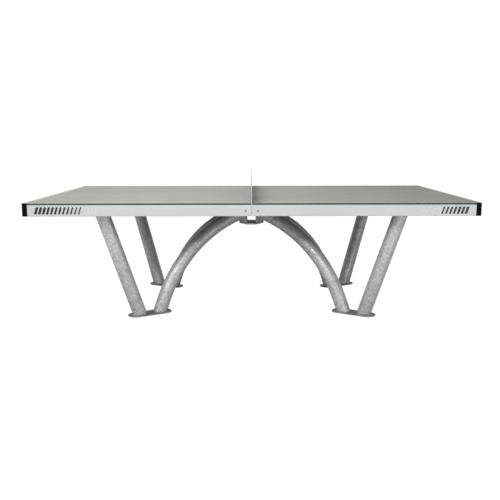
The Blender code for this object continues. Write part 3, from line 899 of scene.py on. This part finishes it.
def makeWelds():
    tree = beadTree()
    lift = welds["size"] * welds["lift"]
    straight, arch = straightAxis(), archAxis()
    joints = {
        "foot_welds": [tubeEndPath(axis, 0, floorPlane, lift) for axis in (straight, arch)],
        "head_weld": [tubeEndPath(straight, -1, headPlane, -lift)],
        "hub_weld": [tubeEndPath(arch, -1, hubPlane, lift)],
    }
    for name, loops in joints.items():
        addCopies(quarters, name, grownMesh(tree, "bead", welds, lineMesh(name, loops, True)), "bead")
    thin = {**welds, "size": welds["hubSize"]}
    for level, height in (("lower", shellLow.z), ("upper", shellHigh.z)):
        path = [Vector((x, y, height)) for x, y in hubOutline(-welds["hubGap"])]
        mesh = grownMesh(tree, "bead", thin, lineMesh(level, [path], False))
        addCopies(halves, f"hub_seam_{level}", mesh, "bead")


makeWelds()
print("welds made")


# net: Geometry Nodes punch rows of round-ended slots in one plate
net = {
    "cornerRadius": 0.012,
    "slotWidth": 0.011,
    "slotHeight": 0.030,
    "columns": 62,
    "rows": 3,
    "sideMargin": 0.040,
    "lowMargin": 0.030,
    "topMargin": 0.030,
    "boltHole": 0.0053,
    "edge": 0.0007,
    "footDepth": 0.0245,
    "footRise": 0.0012,
}


def roundedLoop(tree, width, height, radius, count):
    loop = addNode(tree, "GeometryNodeCurvePrimitiveQuadrilateral", {"Width": width, "Height": height})
    return addNode(tree, "GeometryNodeFilletCurve", {
        "Curve": loop, "Count": count, "Limit Radius": True, "Radius": radius,
    }, mode="POLY")


def netTree():
    tree, given = geometryTree("slottedPlate", [
        "width", "height", "thickness", "cornerRadius", "slotWidth", "slotHeight",
        "fieldWidth", "fieldHeight", "fieldRise", "boltHole", "boltSpread", "boltDrop",
    ], columns="Int", rows="Int")
    plate = roundedLoop(tree, given["width"], given["height"], given["cornerRadius"], 6)
    slotEnd = multiply(tree, given["slotWidth"], 0.499)
    slot = roundedLoop(tree, given["slotWidth"], given["slotHeight"], slotEnd, 3)
    field = addNode(tree, "GeometryNodeMeshGrid", {
        "Size X": given["fieldWidth"], "Size Y": given["fieldHeight"],
        "Vertices X": given["columns"], "Vertices Y": given["rows"],
    })
    field = addNode(tree, "GeometryNodeTransform", {
        "Geometry": field, "Translation": combine(tree, y=given["fieldRise"]),
    })
    slots = addNode(tree, "GeometryNodeInstanceOnPoints", {"Points": field, "Instance": slot})
    first = multiply(tree, given["boltSpread"], -0.5)
    bolts = addNode(tree, "GeometryNodeMeshLine", {
        "Count": 2, "Start Location": combine(tree, first, given["boltDrop"]),
        "Offset": combine(tree, given["boltSpread"]),
    })
    size = {"Resolution": 24, "Radius": given["boltHole"]}
    ring = addNode(tree, "GeometryNodeCurvePrimitiveCircle", size)
    holes = addNode(tree, "GeometryNodeInstanceOnPoints", {"Points": bolts, "Instance": ring})
    loops = addNode(tree, "GeometryNodeRealizeInstances", {0: joinParts(tree, plate, slots, holes)})
    sheet = addNode(tree, "GeometryNodeFillCurve", {"Curve": loops})
    thick = addNode(tree, "GeometryNodeExtrudeMesh", {
        "Mesh": sheet, "Offset Scale": given["thickness"], "Individual": False,
    })
    back = addNode(tree, "GeometryNodeFlipFaces", {"Mesh": sheet})
    return endTree(tree, given, addNode(tree, "GeometryNodeMergeByDistance", {
        "Geometry": joinParts(tree, thick, back), "Distance": 0.00002,
    }))


netBoltLow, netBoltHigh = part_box("net_bolt_rear")
netNutLow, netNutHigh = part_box("net_nut_rear")
netBolt = (netBoltLow + netBoltHigh) / 2


def makeNet():
    middle = (netLow.z + netHigh.z) / 2
    fieldLow = deckHigh.z + net["lowMargin"]
    fieldHigh = netHigh.z - net["topMargin"]
    mesh = grownMesh(netTree(), "net", {
        **net, "width": netHigh.y - netLow.y, "height": netHigh.z - netLow.z,
        "thickness": netHigh.x - netLow.x, "fieldHeight": fieldHigh - fieldLow,
        "fieldWidth": netHigh.y - netLow.y - 2 * net["sideMargin"],
        "fieldRise": (fieldLow + fieldHigh) / 2 - middle,
        "boltSpread": 2 * netBolt.y, "boltDrop": netBolt.z - middle,
    })
    shift(mesh, 0, 0, (netLow.x - netHigh.x) / 2)
    mesh.transform(Matrix(((0, 0, 1, 0), (1, 0, 0, 0), (0, 1, 0, middle), (0, 0, 0, 1))))  # upright
    shape = bmesh.new()
    shape.from_mesh(mesh)
    rims = [rim for rim in shape.edges if rim.calc_face_angle(0) > math.radians(60)]
    bmesh.ops.bevel(shape, geom=rims, offset=net["edge"], segments=1, affect="EDGES")
    addPiece("net_plate", toMesh(shape, "net"), "net", "net")


def makeNetFeet():
    # they close the gap between the apron ends below the net plate
    wide, far, near = netHigh.x, -netHigh.y, net["footDepth"] - netHigh.y
    outline = [(-wide, far), (wide, far), (wide, near), (-wide, near)]
    low, high = apronLow.z + net["footRise"], netLow.z - gap / 3
    mesh = plateMesh("net_foot", outline, low, high, edge=net["edge"], segments=1)
    addCopies([(name, 1, -side) for name, side in sides.items()], "net_foot", mesh, "net")


makeNet()
makeNetFeet()
print("net made")


# fasteners: Geometry Nodes set each kind on its points
fasteners = {
    "corners": 36,
    "large": {"flats": 0.019, "height": 0.0075, "shank": 0.012, "flange": 0.0125},
    "small": {"flats": 0.017, "height": 0.0065, "shank": 0.010, "flange": 0.0105},
    "flangeHeight": 0.0012,
    "crown": 0.95,
    "bevel": 0.0008,
    "screwHead": 0.014,
    "screwHeight": 0.003,
    "screwShank": 0.008,
    "screwLength": 0.020,
    "screwSocket": 0.005,
    "twist": math.tau,
    "seed": 7,
}


def roundRings(*rings):
    # circles about the Z axis, each given by its radius and height
    count = fasteners["corners"]
    return [[Vector((x, y, z)) for x, y in circlePoints(0, 0, radius, count)] for radius, z in rings]


def hexRing(flats, height, chamferFrom=None):
    # hexagon outline; its corners drop where a 30 degree chamfer cuts them
    ring = []
    for step in range(fasteners["corners"]):
        turn = math.tau * step / fasteners["corners"]
        off = (turn % (math.pi / 3)) - math.pi / 6
        radius = flats / 2 / math.cos(off)
        drop = max(radius - chamferFrom, 0) * math.tan(math.radians(30)) if chamferFrom else 0
        ring.append(Vector((radius * math.cos(turn), radius * math.sin(turn), height - drop)))
    return ring


def boltMesh(size, length):
    # head above z = 0 with a thin flange, shank below
    flats, height, shank, rim = size["flats"], size["height"], size["shank"] / 2, size["flange"]
    crown, flange, bevel = flats / 2 * fasteners["crown"], fasteners["flangeHeight"], fasteners["bevel"]
    rings = roundRings((crown * 0.72, height - 0.0004), (crown * 0.78, height), (crown, height))
    rings += [hexRing(flats, height, crown), hexRing(flats, flange * 1.4)]
    rings += roundRings((rim - 0.0006, flange), (rim, flange * 0.5), (rim - 0.0003, 0), (shank, 0),
                        (shank, -length + bevel), (shank - bevel, -length))
    return ringMesh("bolt", rings)


def nutMesh(size):
    flats, height, bore = size["flats"], size["height"], size["shank"] / 2 + gap
    crown = flats / 2 * fasteners["crown"]
    rings = roundRings((bore, height - 0.0006), (bore + 0.0006, height), (crown, height))
    rings += [hexRing(flats, height, crown), hexRing(flats, 0.0002)]
    rings += roundRings((crown, 0), (bore + 0.0004, 0), (bore, 0.0004))
    return ringMesh("nut", rings, closed=True)


def screwMesh():
    # domed head with a six-sided socket, shank below
    head, height = fasteners["screwHead"] / 2, fasteners["screwHeight"]
    shank, length, socket = fasteners["screwShank"] / 2, fasteners["screwLength"], fasteners["screwSocket"]
    rim = socket * 0.68
    rings = [hexRing(socket, height * 0.25), hexRing(socket, height)] + roundRings((rim, height))
    for step in range(1, 7):
        turn = math.pi / 2 * (1 - step / 6)
        rings += roundRings((rim + (head - rim) * math.cos(turn), height * math.sin(turn)))
    rings += roundRings((shank, 0), (shank, -length + 0.001), (shank - 0.001, -length))
    return ringMesh("screw", rings)


def fastenerTree():
    tree, given = geometryTree("fastenerSet", ["twist"], fastener="Object", seed="Int")
    shape = addNode(tree, "GeometryNodeObjectInfo", {"Object": given["fastener"]})
    aim = addNode(tree, "GeometryNodeInputNamedAttribute", {"Name": "aim"}, data_type="FLOAT_VECTOR")
    facing = addNode(tree, "FunctionNodeAlignRotationToVector", {"Vector": aim}, axis="Z")
    chance = addNode(tree, "FunctionNodeRandomValue", {
        2: 0.0, 3: given["twist"], "Seed": given["seed"],
    }, data_type="FLOAT")
    turned = addNode(tree, "FunctionNodeRotateRotation", {
        "Rotation": facing, "Rotate By": combine(tree, z=chance.outputs[1]),
    }, rotation_space="LOCAL")
    placed = addNode(tree, "GeometryNodeInstanceOnPoints", {
        "Points": given["Geometry"], "Instance": shape.outputs["Geometry"], "Rotation": turned,
    })
    return endTree(tree, given, placed)


fastenerNodes = fastenerTree()


def fastenerSet(kind, mesh, places):
    # places give each one's point and the way that its head faces
    holder = addObject(kind + "_shape", mesh)
    spots = bpy.data.meshes.new(kind)
    spots.from_pydata([point for point, _ in places.values()], [], [])
    aims = spots.attributes.new("aim", "FLOAT_VECTOR", "POINT")
    for entry, (_, aim) in zip(aims.data, places.values()):
        entry.vector = aim
    made = grownMesh(fastenerNodes, "stainless", {**fasteners, "fastener": holder}, spots)
    bpy.data.objects.remove(holder)
    nodes = [f"{kind}_{name}" for name in places]
    addPiece(kind + "_set", made, "stainless", *nodes, sharpest=28)


def makeFasteners():
    large, small, down = fasteners["large"], fasteners["small"], (0, 0, -1)
    seat = legBoltLow.z + large["height"]
    places = {}
    for name, end, side in quarters:
        for row, way in (("inner", -1), ("outer", 1)):
            y = side * (headMiddle.y + way * legBoltReach)
            places[f"{row}_{name}"] = ((end * headMiddle.x, y, seat), down)
    fastenerSet("leg_bolt", boltMesh(large, legBoltHigh.z - seat), places)
    seat = hubBoltLow.z + large["height"]
    places = {name: ((end * hubBolt.x, side * hubBolt.y, seat), down) for name, end, side in quarters}
    fastenerSet("hub_bolt", boltMesh(large, hubBoltHigh.z - seat), places)
    seat = netBoltLow.x + small["height"]
    bolt, nut = boltMesh(small, netBoltHigh.x - seat), nutMesh(small)
    for kind, mesh, x, way in (("net_bolt", bolt, seat, -1), ("net_nut", nut, netNutLow.x, 1)):
        places = {name: ((x, side * netBolt.y, netBolt.z), (way, 0, 0)) for name, side in sides.items()}
        fastenerSet(kind, mesh, places)
    y = halfWidth + gap
    places = {name: ((end * screwX, side * y, screwZ), (0, side, 0)) for name, end, side in quarters}
    fastenerSet("seam_screw", screwMesh(), places)


makeFasteners()
print("fasteners made")


# plain slanted stripes printed on the front apron
stripes = {
    "height": 0.043,
    "slant": 0.32,
    "thickness": 0.0003,
    "middle": (apronLow.z + apronHigh.z) / 2,
    "groups": {
        "stripes_left_dark": {"start": -1.282, "count": 12, "pitch": 0.0235, "wide": 0.016, "thin": 0.008},
        "stripes_left_pale": {"start": -0.990, "count": 4, "pitch": 0.0200, "wide": 0.009, "thin": 0.004},
        "stripes_right_dark": {"start": 1.280, "count": 7, "pitch": -0.0235, "wide": 0.016, "thin": 0.010},
        "stripes_right_pale": {"start": 1.112, "count": 3, "pitch": -0.0200, "wide": 0.009, "thin": 0.004},
    },
}


def stripeTree():
    tree, given = geometryTree(
        "slantedStripes", ["pitch", "height", "slant", "thickness", "wide", "thin"], count="Int"
    )
    line = addNode(tree, "GeometryNodeMeshLine", {
        "Count": given["count"], "Offset": combine(tree, given["pitch"]),
    })
    bar = addNode(tree, "GeometryNodeMeshCube", {
        "Size": combine(tree, 1.0, given["thickness"], given["height"]),
    })
    last = calculate(tree, "SUBTRACT", given["count"], 1.0)
    index = addNode(tree, "GeometryNodeInputIndex").outputs[0]
    share = calculate(tree, "DIVIDE", index, last)
    wide = addNode(tree, "ShaderNodeMix", {0: share, 2: given["wide"], 3: given["thin"]})
    bars = addNode(tree, "GeometryNodeInstanceOnPoints", {
        "Points": line, "Instance": bar, "Scale": combine(tree, wide, 1.0, 1.0),
    })
    real = addNode(tree, "GeometryNodeRealizeInstances", {0: bars})
    height = split(tree, addNode(tree, "GeometryNodeInputPosition"))["Z"]
    lean = combine(tree, multiply(tree, height, given["slant"]))
    leaned = addNode(tree, "GeometryNodeSetPosition", {"Geometry": real, "Offset": lean})
    return endTree(tree, given, leaned)


def makeStripes():
    tree = stripeTree()
    for name, group in stripes["groups"].items():
        ink = "inkBlack" if "dark" in name else "inkGrey"
        mesh = grownMesh(tree, ink, {**stripes, **group})
        shift(mesh, group["start"], -halfWidth, stripes["middle"])
        addPiece(name, mesh, ink)


makeStripes()
print("stripes made")


# beams keep their CAD shape and get the zinc finish
for name in ("leg_beam", "stiffener", "centre_beam"):
    for end in ends:
        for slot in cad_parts[f"{name}_{end}"].material_slots:
            slot.material = materials["beam"]


# floor, world and lights
studio = {
    "floor": 60.0,
    "floorTone": 0.55,
    "floorShade": 0.07,  # how much of the shading on the floor the camera sees
    "white": 1.10,
    "worldLight": 0.47,
}


def emptyTree(owner):
    owner.use_nodes = True
    owner.node_tree.nodes.clear()
    return owner.node_tree


def mixForCamera(tree, output, most, plain, seen):
    # the camera sees one shader, up to a share, and the rest of the scene the other
    path = addNode(tree, "ShaderNodeLightPath").outputs["Is Camera Ray"]
    mix = addNode(tree, "ShaderNodeMixShader", {0: multiply(tree, path, most), 1: plain, 2: seen})
    addNode(tree, output, {"Surface": mix})


def makeFloor():
    shape = bmesh.new()
    bmesh.ops.create_grid(shape, x_segments=1, y_segments=1, size=studio["floor"] / 2)
    floor = addObject("floor", toMesh(shape, "floor"))
    material = bpy.data.materials.new("floor")
    tree = emptyTree(material)
    plain = addNode(tree, "ShaderNodeBsdfDiffuse", {"Color": grey(studio["floorTone"])})
    white = addNode(tree, "ShaderNodeEmission", {"Color": grey(1.0), "Strength": studio["white"]})
    mixForCamera(tree, "ShaderNodeOutputMaterial", 1 - studio["floorShade"], plain, white)
    floor.data.materials.append(material)


def makeWorld():
    scene.world = bpy.data.worlds.new("studio")
    tree = emptyTree(scene.world)
    light, seen = (addNode(tree, "ShaderNodeBackground", {"Color": grey(1.0), "Strength": studio[key]})
                   for key in ("worldLight", "white"))
    mixForCamera(tree, "ShaderNodeOutputWorld", 1.0, light, seen)


lights = {
    "key": {"place": (-3.4, -3.6, 3.0), "aim": (-0.4, 0.0, 0.5), "size": (2.4, 2.0), "power": 66},
    "top": {"place": (-1.0, 0.6, 3.5), "aim": (-0.2, 0.0, 0.7), "size": (3.0, 2.0), "power": 112},
    "front": {"place": (0.0, -2.7, 1.9), "aim": (0.0, -2.7, 0.0), "size": (3.0, 1.4), "power": 36},
    "spark": {"place": (-1.0, -3.9, 2.15), "aim": (-0.1, -0.3, 0.4), "size": (0.16, 0.16), "power": 26},
    "lowRight": {"place": (1.7, -2.2, 0.42), "aim": (0.75, -0.5, 0.36), "size": (1.4, 0.55), "power": 7},
}


def makeLights():
    for name, values in lights.items():
        lamp = bpy.data.lights.new(name, "AREA")
        lamp.shape = "RECTANGLE"
        lamp.size, lamp.size_y = values["size"]
        lamp.energy = values["power"]
        holder = addObject(name, lamp)
        place = Vector(values["place"])
        turned = (Vector(values["aim"]) - place).to_track_quat("-Z", "Y")
        holder.matrix_world = Matrix.Translation(place) @ turned.to_matrix().to_4x4()
        holder.visible_camera = False


makeFloor()
makeWorld()
makeLights()
scene.view_settings.view_transform = "Standard"
print("studio made")
